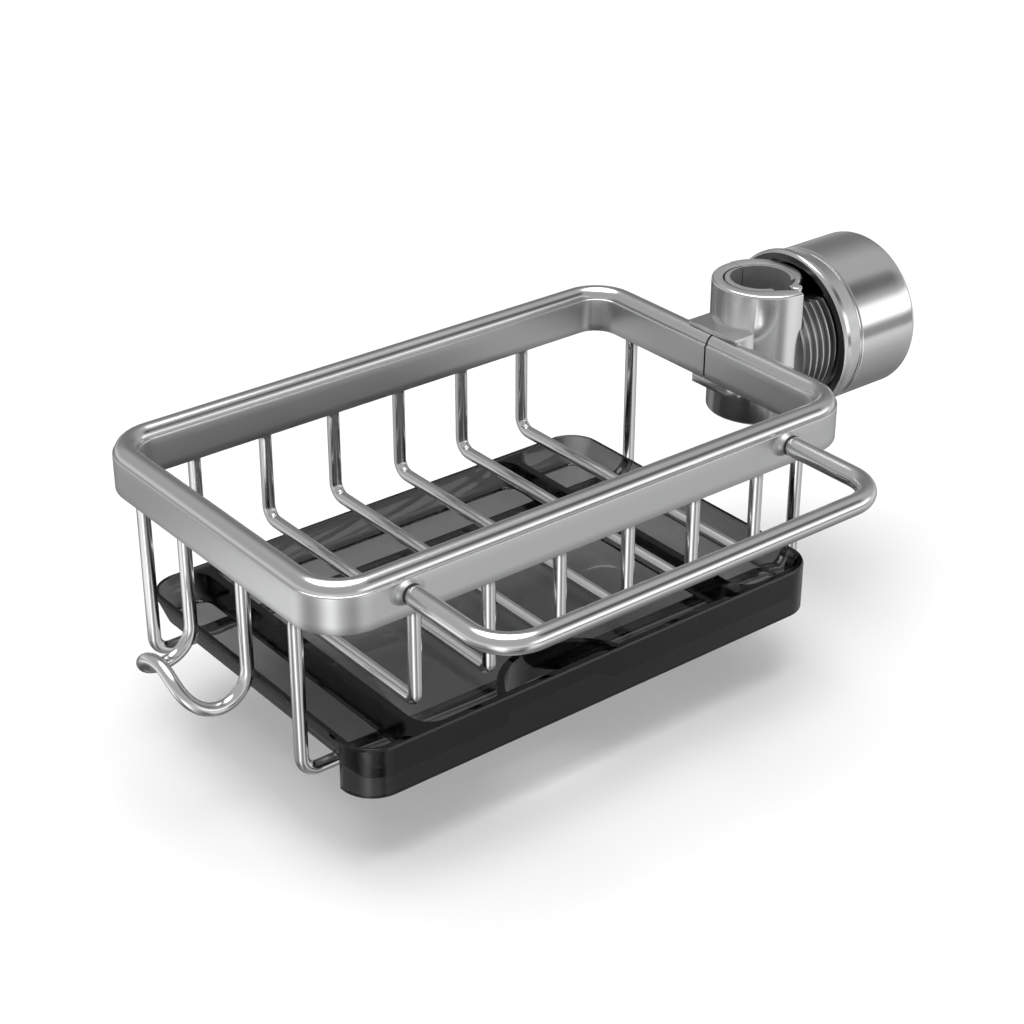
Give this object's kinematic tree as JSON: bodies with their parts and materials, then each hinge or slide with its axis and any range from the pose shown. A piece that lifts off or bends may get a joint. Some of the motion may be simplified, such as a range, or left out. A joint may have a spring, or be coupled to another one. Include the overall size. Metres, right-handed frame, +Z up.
{
  "type": "sink organizer",
  "caption": "Wire basket that clamps to a tap by a threaded knob, with a towel bar, a cloth hook and a drip tray that slides out.",
  "frame": {"origin": "on the axis of the clamp's bore, halfway up the clamp ring", "axes": "+Z up along the bore, +X from the basket towards the clamp knob, -Y to the towel bar at the front"},
  "size_m": [0.3102, 0.1829, 0.1005],
  "materials": {
    "satin_steel": "fine satin",
    "wire_steel": "polished",
    "clamp_steel": "satin",
    "dark_steel": "machined",
    "screw_steel": "machined",
    "black_rubber": "matte",
    "grey_rubber": "matte",
    "smoked_plastic": "glossy, smoked",
    "white_plastic": "matte"
  },
  "bodies": {
    "caddy": {"rim_band": "satin_steel", "floor_wire_1": "wire_steel", "floor_wire_2": "wire_steel", "floor_wire_3": "wire_steel", "floor_wire_4": "wire_steel", "floor_wire_5": "wire_steel", "floor_wire_6": "wire_steel", "rail_wire_front": "wire_steel", "rail_wire_rear": "wire_steel", "hook_wire": "wire_steel", "towel_bar": "wire_steel", "bar_washer_left": "black_rubber", "bar_washer_right": "black_rubber", "clamp_body": "clamp_steel", "clamp_liner": "grey_rubber", "block_screws": "screw_steel"},
    "tray": {"drip_tray": "smoked_plastic"},
    "jaw": {"clamp_jaw": "clamp_steel", "jaw_pad": "grey_rubber"},
    "knob": {"knob_shell": "clamp_steel", "knob_nut": "dark_steel", "thrust_washer": "white_plastic"}
  },
  "joints": [
    {"name": "tray_slide", "type": "slide", "parent": "caddy", "child": "tray", "axis": [0, -1, 0], "range_m": [0, 0.12]},
    {"name": "jaw_slide", "type": "slide", "parent": "caddy", "child": "jaw", "axis": [1, 0, 0], "range_m": [0, 0.018]},
    {"name": "knob_turn", "type": "hinge", "parent": "jaw", "child": "knob", "pos_m": [0, 0, 0], "axis": [1, 0, 0], "range_deg": [0, 2025]}
  ],
  "couplings": [
    {"joint": "jaw_slide", "follows": "knob_turn", "m_per_rad": 0.0005093}
  ]
}
